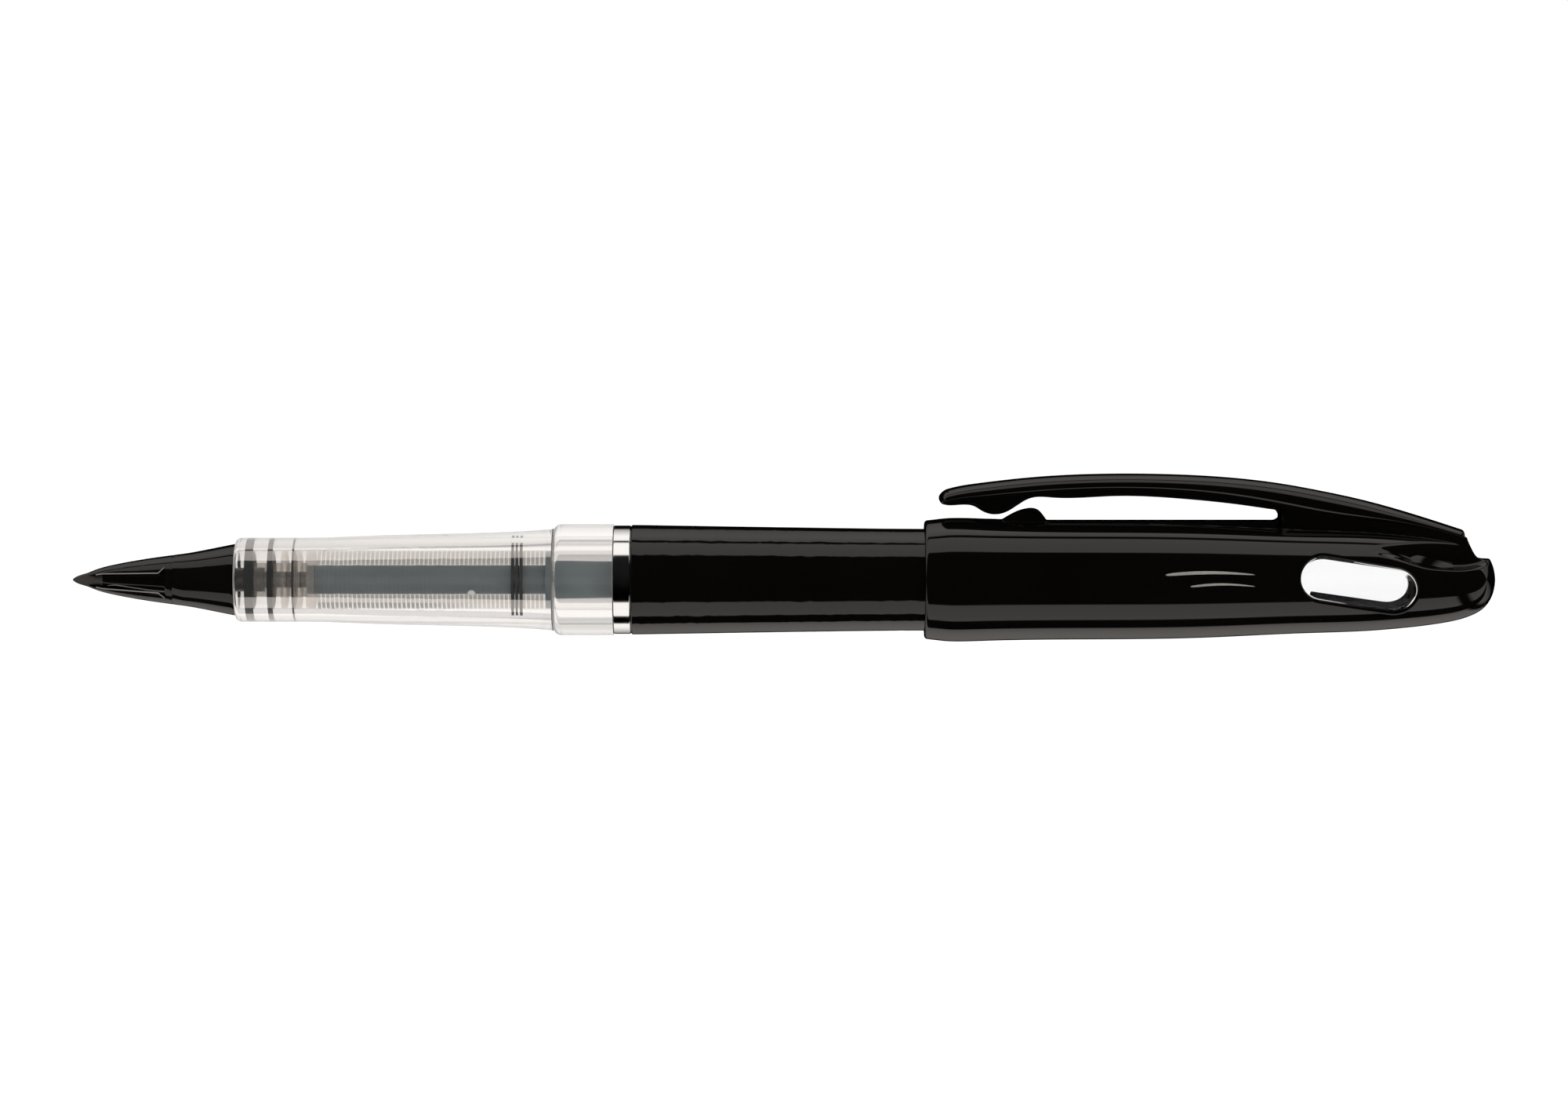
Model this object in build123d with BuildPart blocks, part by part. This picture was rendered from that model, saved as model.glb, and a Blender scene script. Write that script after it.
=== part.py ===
from build123d import *
import os

# Brush pen with a two-winged nib, a clear ink-collector grip and a posted cap.
#
# Frame: +X runs along the pen's axis from the nib to the tail, +Z is the clip side, and the
# origin is the middle of the cap seat, the widest collar of the grip. Units are millimetres.
# The cap sits on the tail of the barrel, as it does while the pen is in use.

os.makedirs("parts", exist_ok=True)

# ---- Driving dimensions -------------------------------------------------------------------
NIB_REACH = 57.9  # cap seat middle to the writing point
SEAT_RADIUS = 6.26  # cap seat, where the closed cap grips
SEAT_LENGTH = 5.9
RING_WIDTH = 2.0
TAIL_RADIUS = 5.73  # cylindrical tail of the barrel, where the cap is posted
TAIL_END = 77.0
CAP_MOUTH = 37.9  # mouth of the posted cap
CAP_LENGTH = 64.25
NIB_ROLL = 6.0  # turn of the nib about the axis, in degrees
CLEAR = 0.02  # assembly clearance between fixed parts
RUN = 0.05  # running clearance between moving parts

# Grip
GRIP_FRONT = -39.5
GRIP_RADIUS = 4.74
GRIP_BORE = 3.32
SEAT_FRONT = -SEAT_LENGTH / 2
SEAT_BACK = SEAT_LENGTH / 2

# Screw joint between the grip and the barrel
THREAD_PITCH = 1.2
THREAD_TURNS = 3.5
MALE_ROOT = 4.50
MALE_CREST = 4.92
FEMALE_CREST = 4.64
FEMALE_ROOT = 5.06
SPIGOT_RADIUS = 5.0
SPIGOT_END = SEAT_BACK + RING_WIDTH + 1.25
STUB_END = SPIGOT_END + 5.6

# Ink system
CORE_RADIUS = 0.85
NECK_RADIUS = 1.95
FIN_RADIUS = 3.24
FIN_PITCH = 0.5
FIN_THICKNESS = 0.35
FIN_COUNT = 51
FIN_START = -30.1
FLANGES = [(-34.2, -33.7), (-33.05, -32.1), (-31.4, -30.45)]  # front and back of each wide fin
TANK_RADIUS = 3.85
TANK_WALL = 0.5
TANK_END = 70.0

# Cap
CAP_END = CAP_MOUTH + CAP_LENGTH
CAP_LIP = [(CAP_MOUTH, 6.45), (CAP_MOUTH + 0.3, 6.66)]
CAP_OUTLINE = [
    CAP_LIP[-1],
    (40.0, 6.90),
    (41.9, 6.97),
    (44.2, 6.90),
    (52.2, 6.75),
    (64.5, 6.66),
    (70.5, 6.49),
    (80.4, 6.04),
    (87.4, 5.79),
    (91.8, 5.44),
    (96.2, 4.88),
    (99.2, 4.13),
    (100.9, 3.12),
    (101.8, 1.70),
    (CAP_END, 0),
]
CAP_CAVITY = [(82.0, 5.3), (88.0, 4.95), (93.0, 4.45), (97.0, 3.2), (99.2, 1.6), (99.8, 0)]
CAVITY_START = TAIL_END + 0.3
WINDOW_CENTRE = (86.3, -0.2)
WINDOW_SPACING = 8.12  # between the centres of its round ends
WINDOW_WIDTH = 5.04
WINDOW_TILT = -9.8  # degrees, lower towards the tail

# Clip
CLIP_WIDTH = 4.6
RIB_WIDTH = 4.8
PIVOT = (78.3, 9.33)  # where the clip bends, at the rear end of its slot
KNUCKLE_RADIUS = 1.46

# ---- Nib: pointed fibre rod with two flats -------------------------------------------------
NIB_HEAD = -56.0
NIB_HEAD_RADIUS = 0.86
SHANK_RADIUS = 0.60
SHANK_END = -47.0
NIB_SIDE = Plane.XZ.rotated((NIB_ROLL, 0, 0))
NIB_TOP = Plane.XY.rotated((NIB_ROLL, 0, 0))

with BuildPart() as nib:
    with BuildSketch(Plane.XZ):
        with BuildLine():
            point = RadiusArc((-NIB_REACH, 0), (-NIB_REACH + 0.1, 0.14), 0.16)
            Spline(point @ 1, (-57.36, 0.41), (-56.66, 0.65), (NIB_HEAD, NIB_HEAD_RADIUS))
            Polyline(
                (NIB_HEAD, NIB_HEAD_RADIUS),
                (NIB_HEAD, SHANK_RADIUS),
                (SHANK_END, SHANK_RADIUS),
                (SHANK_END, 0),
                (-NIB_REACH, 0),
            )
        make_face()
    revolve(axis=Axis.X)
    # two long flats make the point oval
    with BuildSketch(NIB_TOP):
        for side in (1, -1):
            with BuildLine():
                Polyline(
                    (-NIB_REACH - 1, side * 0.02),
                    (NIB_HEAD + 0.6, side * 0.46),
                    (NIB_HEAD + 0.6, side * 2),
                    (-NIB_REACH - 1, side * 2),
                    close=True,
                )
            make_face()
    extrude(amount=2, both=True, mode=Mode.SUBTRACT)

# ---- Nib holder: flared cone, two wings and a round core between them -----------------------
WING_TIP = NIB_HEAD + CLEAR
WING_ROOT = -47.3
SEAM = -46.55
SEAM_RADIUS = 2.79
SEAM_WIDTH = 0.12
HOLDER_BASE = 4.03
TAIL_TUBE_RADIUS = 1.35
TAIL_TUBE_END = -36.2

with BuildPart() as nib_holder:
    with BuildSketch(Plane.XZ):
        with BuildLine():
            Spline(
                (WING_TIP, 0.87),
                (-54.5, 1.40),
                (-53.1, 1.73),
                (-50.3, 2.25),
                (WING_ROOT, 2.69),
                (SEAM, SEAM_RADIUS),
            )
            Spline(
                (SEAM, SEAM_RADIUS),
                (-44.67, 3.05),
                (-42.6, 3.44),
                (GRIP_FRONT - 0.35, 3.99),
                tangents=[(1, 0.12), (1, 0.2)],
            )
            Polyline(
                (GRIP_FRONT - 0.35, 3.99),
                (GRIP_FRONT - CLEAR, HOLDER_BASE),
                (GRIP_FRONT - CLEAR, 0),
                (WING_TIP, 0),
                (WING_TIP, 0.87),
            )
        make_face()
    revolve(axis=Axis.X)
    # flat faces on both sides of the wings
    with BuildSketch(NIB_TOP):
        for side in (1, -1):
            with BuildLine():
                Polyline(
                    (WING_TIP - 0.1, side * 0.62),
                    (-54.5, side * 1.02),
                    (WING_ROOT, side * 2.42),
                    (WING_ROOT, side * 4),
                    (WING_TIP - 0.1, side * 4),
                    close=True,
                )
            make_face()
    extrude(amount=4, both=True, mode=Mode.SUBTRACT)
    # channel between the wings, wider at its root
    with BuildSketch(NIB_SIDE):
        with BuildLine():
            Polyline(
                (WING_TIP - 0.1, 0.62),
                (-55.2, 0.68),
                (-54.4, 0.82),
                (WING_ROOT - 0.75, 1.10),
                (WING_ROOT, 1.75),
                (WING_ROOT, 0),
                (WING_TIP - 0.1, 0),
                close=True,
            )
        make_face()
        mirror(about=Plane.XZ)
    extrude(amount=4, both=True, mode=Mode.SUBTRACT)
    # round core around the nib's shank
    with BuildSketch(Plane.XZ):
        with BuildLine():
            Polyline((-54.5, 0), (-54.5, 0.72))
            Spline((-54.5, 0.72), (-53.0, 1.0), (-50.0, 1.42), (WING_ROOT, 1.95))
            Polyline((WING_ROOT, 1.95), (WING_ROOT + 0.3, 1.95), (WING_ROOT + 0.3, 0), (-54.5, 0))
        make_face()
    revolve(axis=Axis.X)
    # seam groove
    with BuildSketch(Plane.XZ):
        with Locations((SEAM, SEAM_RADIUS)):
            Rectangle(SEAM_WIDTH, 0.24)
    revolve(axis=Axis.X, mode=Mode.SUBTRACT)
    # tail tube that plugs into the collector
    with BuildSketch(Plane.YZ.offset(GRIP_FRONT - 0.5)):
        Circle(TAIL_TUBE_RADIUS)
    extrude(amount=TAIL_TUBE_END - GRIP_FRONT + 0.5)
    # stepped bore: nib shank in front, ink core behind
    with BuildSketch(Plane.YZ.offset(WING_TIP - 0.5)):
        Circle(SHANK_RADIUS + CLEAR)
    extrude(amount=SHANK_END - WING_TIP + 0.5, mode=Mode.SUBTRACT)
    with BuildSketch(Plane.YZ.offset(SHANK_END)):
        Circle(CORE_RADIUS + CLEAR)
    extrude(amount=TAIL_TUBE_END - SHANK_END + 1, mode=Mode.SUBTRACT)

# ---- Ink core: capillary rod from the tank to the nib ----------------------------------------
CORE_END = 7.0

with BuildPart(Plane.YZ.offset(SHANK_END)) as ink_core:
    Cylinder(CORE_RADIUS, CORE_END - SHANK_END, align=(Align.CENTER, Align.CENTER, Align.MIN))

# ---- Collector: comb of thin fins that holds surplus ink --------------------------------------
NECK_FRONT = -38.9
COMB_CORE = 1.62
FIN_END = FIN_START + FIN_COUNT * FIN_PITCH
LAST_FIN = -3.85
SHOULDER_END = SEAT_FRONT - 0.1
PLUG_RADIUS = TANK_RADIUS - TANK_WALL - CLEAR
PLUG_END = 8.2
SOCKET_RADIUS = TAIL_TUBE_RADIUS + CLEAR

with BuildPart() as collector:
    outline = [(NECK_FRONT, SOCKET_RADIUS), (NECK_FRONT, NECK_RADIUS)]
    for front, back in FLANGES:
        outline += [(front, NECK_RADIUS), (front, FIN_RADIUS), (back, FIN_RADIUS), (back, NECK_RADIUS)]
    outline.append((FIN_START, NECK_RADIUS))
    for index in range(FIN_COUNT):
        front = FIN_START + index * FIN_PITCH
        back = front + FIN_THICKNESS
        outline += [(front, FIN_RADIUS), (back, FIN_RADIUS), (back, COMB_CORE)]
        outline.append((front + FIN_PITCH, COMB_CORE))
    outline += [
        (LAST_FIN, COMB_CORE),
        (LAST_FIN, FIN_RADIUS),
        (SHOULDER_END - 0.4, FIN_RADIUS),
        (SHOULDER_END, 2.15),
        (3.6, 2.05),
        (4.45, PLUG_RADIUS),
        (PLUG_END, PLUG_RADIUS - 0.05),
        (PLUG_END, CORE_RADIUS + CLEAR),
        (TAIL_TUBE_END + 0.1, CORE_RADIUS + CLEAR),
        (TAIL_TUBE_END + 0.1, SOCKET_RADIUS),
    ]
    with BuildSketch(Plane.XZ):
        with BuildLine():
            Polyline(*outline, close=True)
        make_face()
    revolve(axis=Axis.X)
    # ink slit on the clip side and air groove opposite, cut through every fin
    with Locations(((FIN_START + FIN_END) / 2, 0, 2.4)):
        Box(FIN_END - FIN_START + 0.6, 0.2, 2.4, mode=Mode.SUBTRACT)
    with Locations(((FIN_START + FIN_END) / 2, 0, -3.0)):
        Box(FIN_END - FIN_START + 0.6, 0.9, 1.2, mode=Mode.SUBTRACT)

# ---- Seal rings on the collector's neck --------------------------------------------------------
RING_SECTION = GRIP_BORE - NECK_RADIUS - 2 * CLEAR
RING_MIDDLE = (GRIP_BORE + NECK_RADIUS) / 2

with BuildPart() as seal_ring_front:
    with BuildSketch(Plane.XZ):
        with Locations((-37.86, RING_MIDDLE)):
            RectangleRounded(0.93, RING_SECTION, 0.12)
    revolve(axis=Axis.X)

with BuildPart() as seal_ring_rear:
    with BuildSketch(Plane.XZ):
        with Locations((-35.48, RING_MIDDLE)):
            RectangleRounded(0.6, RING_SECTION, 0.27)
    revolve(axis=Axis.X)

# ---- Grip: clear tapered sleeve with the cap seat and the threaded stub -------------------------
TANK_SEAT = 4.35
TANK_POCKET = TANK_RADIUS + CLEAR
THREAD_START = SPIGOT_END + 0.6
THREAD_DEPTH = MALE_CREST - MALE_ROOT + 0.05
STEP_START = SEAT_FRONT - 1.05
STEP_RADIUS = 5.70

with BuildPart() as grip_section:
    with BuildSketch(Plane.XZ):
        with BuildLine():
            Polyline((GRIP_FRONT, GRIP_BORE), (GRIP_FRONT, GRIP_RADIUS - 0.6))
            RadiusArc((GRIP_FRONT, GRIP_RADIUS - 0.6), (GRIP_FRONT + 0.6, GRIP_RADIUS), 0.6)
            Line((GRIP_FRONT + 0.6, GRIP_RADIUS), (-31.6, GRIP_RADIUS))
            Spline(
                (-31.6, GRIP_RADIUS),
                (-24.6, 4.96),
                (-14.0, 5.22),
                (STEP_START, STEP_RADIUS),
                tangents=[(1, 0), (1, 0.09)],
            )
            RadiusArc((STEP_START, STEP_RADIUS), (SEAT_FRONT - 0.72, 5.84), -0.3)
            RadiusArc((SEAT_FRONT - 0.72, 5.84), (SEAT_FRONT, SEAT_RADIUS), 0.9)
            Polyline(
                (SEAT_FRONT, SEAT_RADIUS),
                (SEAT_BACK, SEAT_RADIUS),
                (SEAT_BACK, SPIGOT_RADIUS),
                (SPIGOT_END, SPIGOT_RADIUS),
                (SPIGOT_END + 0.2, MALE_ROOT),
                (STUB_END, MALE_ROOT),
                (STUB_END, TANK_POCKET),
                (TANK_SEAT, TANK_POCKET),
                (TANK_SEAT, GRIP_BORE),
                (GRIP_FRONT, GRIP_BORE),
            )
        make_face()
    revolve(axis=Axis.X)
    with BuildLine() as male_helix:
        Helix(
            THREAD_PITCH,
            THREAD_PITCH * THREAD_TURNS,
            MALE_ROOT - 0.05,
            center=(THREAD_START, 0, 0),
            direction=(1, 0, 0),
        )
    with BuildSketch(Plane(origin=male_helix.line @ 0, x_dir=(1, 0, 0), z_dir=male_helix.line % 0)):
        with BuildLine():
            Polyline((-0.36, 0), (-0.16, THREAD_DEPTH), (0.16, THREAD_DEPTH), (0.36, 0), close=True)
        make_face()
    sweep(path=male_helix.line, is_frenet=True)

# ---- Trim ring: bright band held between the grip and the barrel ---------------------------------
RING_RADIUS = 6.10
COUNTERBORE = SPIGOT_RADIUS + RUN
RING_START = SEAT_BACK + CLEAR
RING_END = SEAT_BACK + RING_WIDTH - CLEAR

with BuildPart(Plane.YZ.offset(RING_START)) as trim_ring:
    Cylinder(RING_RADIUS, RING_END - RING_START, align=(Align.CENTER, Align.CENTER, Align.MIN))
    fillet(trim_ring.edges(), 0.15)
    Hole(COUNTERBORE)

# ---- Ink tank, its end plug and the ink --------------------------------------------------------
TANK_START = TANK_SEAT + 0.05
TANK_BORE = TANK_RADIUS - TANK_WALL
TANK_PLUG_LENGTH = 5.0

with BuildPart(Plane.YZ.offset(TANK_START)) as ink_tank:
    Cylinder(TANK_RADIUS, TANK_END - TANK_START, align=(Align.CENTER, Align.CENTER, Align.MIN))
    Hole(TANK_BORE)
    chamfer(ink_tank.edges().group_by(Axis.X)[0].sort_by(SortBy.RADIUS)[-1], 0.15)

with BuildPart() as tank_plug:
    with BuildSketch(Plane.XZ):
        with BuildLine():
            Polyline(
                (TANK_END - TANK_PLUG_LENGTH, 0),
                (TANK_END - TANK_PLUG_LENGTH, TANK_BORE - 0.4),
                (TANK_END - TANK_PLUG_LENGTH + 0.6, TANK_BORE - CLEAR),
                (TANK_END + CLEAR, TANK_BORE - CLEAR),
                (TANK_END + CLEAR, TANK_RADIUS),
                (TANK_END + 1.0, TANK_RADIUS - 0.1),
                (TANK_END + 1.0, 0),
                close=True,
            )
        make_face()
    revolve(axis=Axis.X)

INK_START = PLUG_END + 0.1
INK_END = TANK_END - TANK_PLUG_LENGTH - 2.0

with BuildPart(Plane.YZ.offset(INK_START)) as ink_charge:
    Cylinder(TANK_BORE - CLEAR, INK_END - INK_START, align=(Align.CENTER, Align.CENTER, Align.MIN))

# ---- Barrel: tapered tube with the female thread, closed at the tail -----------------------------
BARREL_START = SEAT_BACK + RING_WIDTH
BARREL_BORE = 4.4
BARREL_BORE_END = 73.5
FEMALE_START = SPIGOT_END + 0.3
FEMALE_END = STUB_END + 0.6

with BuildPart() as barrel:
    with BuildSketch(Plane.XZ):
        with BuildLine():
            Polyline((BARREL_START, COUNTERBORE), (BARREL_START, 6.02), (BARREL_START + 0.15, 6.17))
            Spline(
                (BARREL_START + 0.15, 6.17),
                (13.4, 6.04),
                (20.4, 5.93),
                (27.5, 5.83),
                (38.0, TAIL_RADIUS),
                tangents=[(1, -0.015), (1, 0)],
            )
            Line((38.0, TAIL_RADIUS), (TAIL_END - 1.4, TAIL_RADIUS))
            RadiusArc((TAIL_END - 1.4, TAIL_RADIUS), (TAIL_END, TAIL_RADIUS - 1.4), 1.4)
            Polyline(
                (TAIL_END, TAIL_RADIUS - 1.4),
                (TAIL_END, 0),
                (BARREL_BORE_END, 0),
                (BARREL_BORE_END, BARREL_BORE - 1),
                (BARREL_BORE_END - 1, BARREL_BORE),
                (FEMALE_END + 0.5, BARREL_BORE),
                (FEMALE_END, FEMALE_CREST),
                (FEMALE_START, FEMALE_CREST),
                (FEMALE_START, COUNTERBORE),
                (BARREL_START, COUNTERBORE),
            )
        make_face()
    revolve(axis=Axis.X)
    with BuildLine() as female_helix:
        Helix(
            THREAD_PITCH,
            THREAD_PITCH * THREAD_TURNS + 2 * THREAD_PITCH,
            FEMALE_CREST - 0.1,
            center=(THREAD_START - THREAD_PITCH, 0, 0),
            direction=(1, 0, 0),
        )
    with BuildSketch(Plane(origin=female_helix.line @ 0, x_dir=(1, 0, 0), z_dir=female_helix.line % 0)):
        with BuildLine():
            groove_depth = FEMALE_ROOT - FEMALE_CREST + 0.1
            Polyline((-0.44, 0), (-0.23, groove_depth), (0.23, groove_depth), (0.44, 0), close=True)
        make_face()
    sweep(path=female_helix.line, is_frenet=True, mode=Mode.SUBTRACT)

# ---- Cap shell: tube with a rib for the clip, a window through both sides and a scooped tail ------
MOUTH_BORE = SEAT_RADIUS + 0.06
MOUTH_DEPTH = 6.1
SHELL_BORE = TAIL_RADIUS + RUN
HOLLOW_FLOOR = 1.85
RIB_START = 77.8
RIB_TOP = PIVOT[1] + KNUCKLE_RADIUS

with BuildPart() as cap_shell:
    with BuildSketch(Plane.XZ):
        with BuildLine():
            Spline(*CAP_OUTLINE, tangents=[(1, 0.25), (0, -1)])
            Polyline((CAP_END, 0), (CAP_MOUTH, 0), *CAP_LIP)
        make_face()
    revolve(axis=Axis.X)
    # hollows on both sides of the rib's rear end
    with BuildSketch(Plane.XY.offset(HOLLOW_FLOOR)):
        with BuildLine():
            Spline((91.9, 5.6), (94.5, 4.2), (96.6, 2.9), (99.0, 2.42), (103.0, 2.3))
            Polyline((103.0, 2.3), (103.0, 7.0), (91.9, 7.0), (91.9, 5.6))
        make_face()
        mirror(about=Plane.XZ)
    extrude(amount=8, mode=Mode.SUBTRACT)
    # scoop behind the rib
    with BuildSketch(Plane.XZ):
        with BuildLine():
            Spline((98.54, 5.60), (99.07, 3.95), (99.60, 2.97), (100.66, 2.34), (101.6, 2.42))
            Polyline((101.6, 2.42), (103.0, 2.6), (103.0, 8.0), (98.54, 8.0), (98.54, 5.60))
        make_face()
    extrude(amount=8, both=True, mode=Mode.SUBTRACT)
    # rib that carries the clip
    with BuildSketch(Plane.XZ):
        with BuildLine():
            Spline((PIVOT[0], RIB_TOP), (82.1, 10.10), (87.4, 8.95), (92.7, 7.47), (98.54, 5.60))
            Spline((98.54, 5.60), (99.07, 3.95), (99.60, 2.97), (100.66, 2.34))
            Polyline(
                (100.66, 2.34),
                (100.66, 1.5),
                (RIB_START, 1.5),
                (RIB_START, PIVOT[1]),
                (PIVOT[0], RIB_TOP),
            )
        make_face()
    extrude(amount=RIB_WIDTH / 2, both=True)
    with BuildSketch(Plane.XZ):
        with Locations(PIVOT):
            Circle(KNUCKLE_RADIUS + RUN)
    extrude(amount=RIB_WIDTH, both=True, mode=Mode.SUBTRACT)
    # ledge under the clip's ball that stops cloth from slipping out
    with BuildSketch(Plane.XZ):
        with BuildLine():
            Spline((46.6, 6.7), (48.2, 7.78), (49.9, 8.02), (51.0, 7.6), (51.7, 6.6))
            Polyline((51.7, 6.6), (51.7, 6.3), (46.6, 6.3), (46.6, 6.7))
        make_face()
    extrude(amount=1.5, both=True)
    # inside: mouth bore, barrel bore and the seat of the inner cap
    with BuildSketch(Plane.XZ):
        with BuildLine():
            Polyline(
                (CAP_MOUTH - 1, 0),
                (CAP_MOUTH - 1, MOUTH_BORE),
                (CAP_MOUTH + MOUTH_DEPTH, MOUTH_BORE),
                (CAP_MOUTH + MOUTH_DEPTH + 0.5, SHELL_BORE),
                (CAVITY_START, SHELL_BORE),
                (CAVITY_START, CAP_CAVITY[0][1]),
                *CAP_CAVITY,
                close=True,
            )
        make_face()
    revolve(axis=Axis.X, mode=Mode.SUBTRACT)
    # window
    with BuildSketch(Plane.XZ):
        with Locations(WINDOW_CENTRE):
            SlotCenterToCenter(WINDOW_SPACING, WINDOW_WIDTH, rotation=WINDOW_TILT)
    extrude(amount=8, both=True, mode=Mode.SUBTRACT)

# ---- Windows: clear lenses that fill the openings, flush with the cap ---------------------------
with BuildPart() as window_front:
    with BuildSketch(Plane.XZ):
        with BuildLine():
            Spline(*CAP_OUTLINE, tangents=[(1, 0.25), (0, -1)])
            Polyline((CAP_END, 0), *reversed(CAP_CAVITY), (CAP_MOUTH, CAP_CAVITY[0][1]), *CAP_LIP)
        make_face()
    revolve(axis=Axis.X)
    with BuildSketch(Plane.XZ):
        with Locations(WINDOW_CENTRE):
            SlotCenterToCenter(WINDOW_SPACING, WINDOW_WIDTH - 2 * CLEAR, rotation=WINDOW_TILT)
    extrude(amount=8, mode=Mode.INTERSECT)

with BuildPart() as window_back:
    mirror(window_front.part, about=Plane.XZ)

# ---- Inner cap: clear cup that closes round the grip's front and the nib --------------------------
with BuildPart() as inner_cap:
    with BuildSketch(Plane.XZ):
        with BuildLine():
            cup = [(x - CLEAR, max(r - CLEAR, 0)) for x, r in CAP_CAVITY]
            Polyline(
                (CAVITY_START + 0.05, GRIP_RADIUS + RUN),
                (CAVITY_START + 0.05, CAP_CAVITY[0][1] - CLEAR),
                *cup,
                (99.1, 0),
                (98.3, 1.2),
                (96.0, 2.4),
                (93.0, 3.4),
                (88.0, 3.95),
                (84.0, 4.15),
                (80.6, 4.2),
                (80.4, GRIP_RADIUS + RUN),
                close=True,
            )
        make_face()
    revolve(axis=Axis.X)

# ---- Clip: springy arm with a ball that presses towards the cap ----------------------------------
with BuildPart() as clip:
    with BuildSketch(Plane.XZ):
        with BuildLine():
            top = Spline(
                (40.3, 10.17),
                (44.05, 10.89),
                (50.4, 11.58),
                (59.0, 11.95),
                (66.3, 11.86),
                (73.3, 11.42),
                (PIVOT[0], PIVOT[1] + KNUCKLE_RADIUS),
            )
            RadiusArc(top @ 1, (PIVOT[0], PIVOT[1] - KNUCKLE_RADIUS), KNUCKLE_RADIUS)
            under = Spline(
                (PIVOT[0], PIVOT[1] - KNUCKLE_RADIUS),
                (73.3, 8.51),
                (66.3, 9.22),
                (59.0, 9.48),
                (52.2, 9.30),
                (48.8, 8.86),
                (47.4, 7.86),
                (45.6, 7.45),
                (44.0, 7.84),
                (42.6, 8.58),
                (40.6, 8.45),
            )
            Spline(under @ 1, (39.5, 9.3), top @ 0, tangents=[under % 1, top % 0])
        make_face()
    extrude(amount=CLIP_WIDTH / 2, both=True)

# ---- Export --------------------------------------------------------------------------------------
PARTS = {
    "nib": nib,
    "nib_holder": nib_holder,
    "ink_core": ink_core,
    "collector": collector,
    "seal_ring_front": seal_ring_front,
    "seal_ring_rear": seal_ring_rear,
    "grip_section": grip_section,
    "trim_ring": trim_ring,
    "ink_tank": ink_tank,
    "tank_plug": tank_plug,
    "ink_charge": ink_charge,
    "barrel": barrel,
    "cap_shell": cap_shell,
    "window_front": window_front,
    "window_back": window_back,
    "inner_cap": inner_cap,
    "clip": clip,
}
for name, builder in PARTS.items():
    builder.part.label = name
    export_step(builder.part, f"parts/{name}.step")
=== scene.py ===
import math

import bpy
import numpy as np
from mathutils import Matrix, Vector

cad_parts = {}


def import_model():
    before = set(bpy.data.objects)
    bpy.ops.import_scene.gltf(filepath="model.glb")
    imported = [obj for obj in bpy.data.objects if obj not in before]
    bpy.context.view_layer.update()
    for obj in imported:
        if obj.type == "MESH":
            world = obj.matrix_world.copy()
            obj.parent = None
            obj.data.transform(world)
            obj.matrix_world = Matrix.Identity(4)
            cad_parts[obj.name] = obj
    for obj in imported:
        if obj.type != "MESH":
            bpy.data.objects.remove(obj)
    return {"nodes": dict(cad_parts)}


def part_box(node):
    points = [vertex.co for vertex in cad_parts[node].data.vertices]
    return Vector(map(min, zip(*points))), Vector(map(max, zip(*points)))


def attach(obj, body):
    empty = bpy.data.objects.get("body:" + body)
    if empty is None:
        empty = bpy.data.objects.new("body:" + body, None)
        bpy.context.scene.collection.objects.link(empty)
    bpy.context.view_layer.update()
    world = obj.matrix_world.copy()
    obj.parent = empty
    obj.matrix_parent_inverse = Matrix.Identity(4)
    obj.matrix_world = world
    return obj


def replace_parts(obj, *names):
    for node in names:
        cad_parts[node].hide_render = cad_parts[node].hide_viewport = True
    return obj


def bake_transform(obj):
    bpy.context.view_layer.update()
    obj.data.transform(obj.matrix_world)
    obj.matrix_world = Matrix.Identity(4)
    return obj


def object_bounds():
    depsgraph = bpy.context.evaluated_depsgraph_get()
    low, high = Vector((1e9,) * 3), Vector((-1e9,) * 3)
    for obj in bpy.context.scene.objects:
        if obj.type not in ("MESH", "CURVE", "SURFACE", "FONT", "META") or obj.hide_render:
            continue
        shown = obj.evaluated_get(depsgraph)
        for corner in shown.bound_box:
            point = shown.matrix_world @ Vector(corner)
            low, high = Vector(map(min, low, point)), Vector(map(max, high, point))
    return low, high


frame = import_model()
cad_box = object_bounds()

MM = 0.001
NODES = frame["nodes"]


# ---- Shader graph helpers -----------------------------------------------------------------------


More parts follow.
